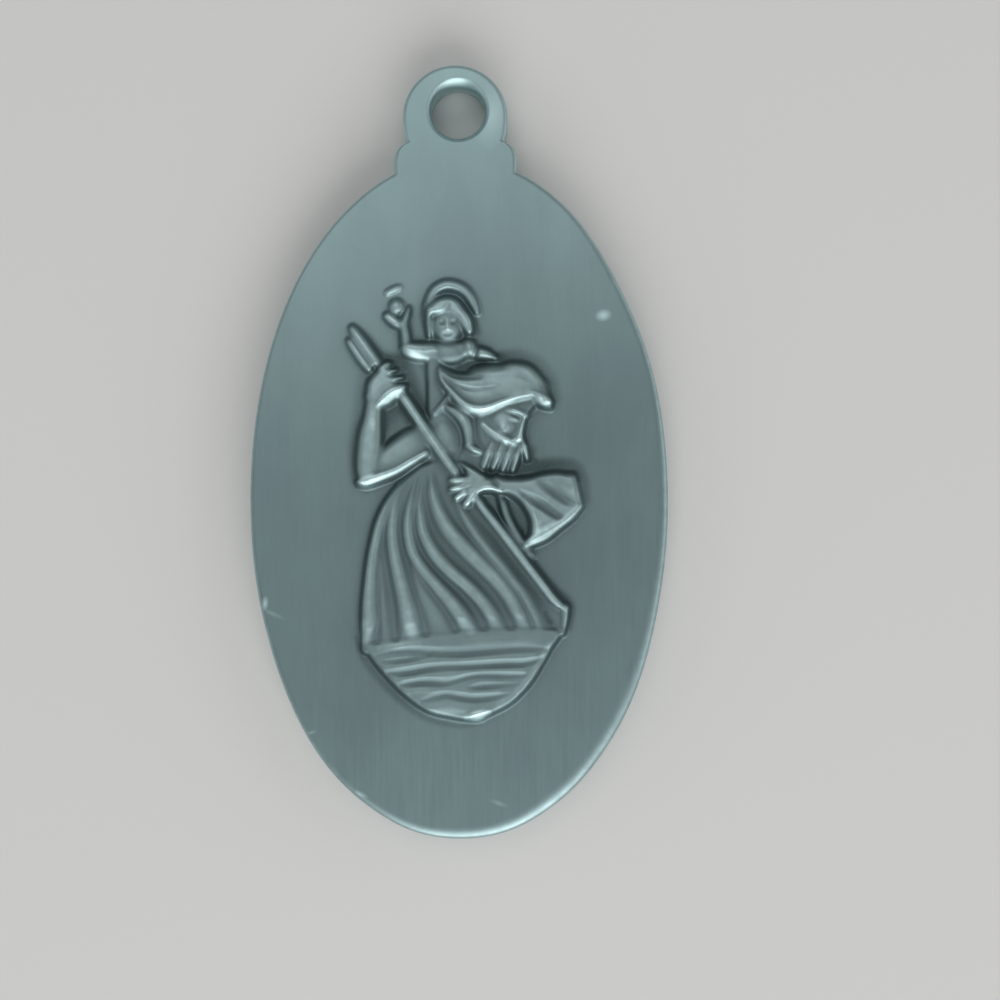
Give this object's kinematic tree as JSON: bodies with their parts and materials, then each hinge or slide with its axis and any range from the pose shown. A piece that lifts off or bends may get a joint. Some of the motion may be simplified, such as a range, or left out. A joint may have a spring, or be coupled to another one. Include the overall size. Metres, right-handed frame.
{
  "type": "religious medal pendant",
  "caption": "Flat oval medal with a raised saint-and-child figure on its face, a plain back, and a neck with a drilled eye for a jump ring.",
  "frame": {"origin": "on the flat back, in the middle of the overall length and width", "axes": "+Z out of the face with the relief, +Y along the medal towards the eye, +X to the right as the figure stands upright"},
  "size_m": [0.014, 0.026, 0.0021],
  "materials": {
    "pewter": "satin grey pewter, darkened in the recesses of the relief and worn bright on its high points and rim"
  },
  "bodies": {
    "root": {"medal": "pewter"}
  },
  "joints": []
}
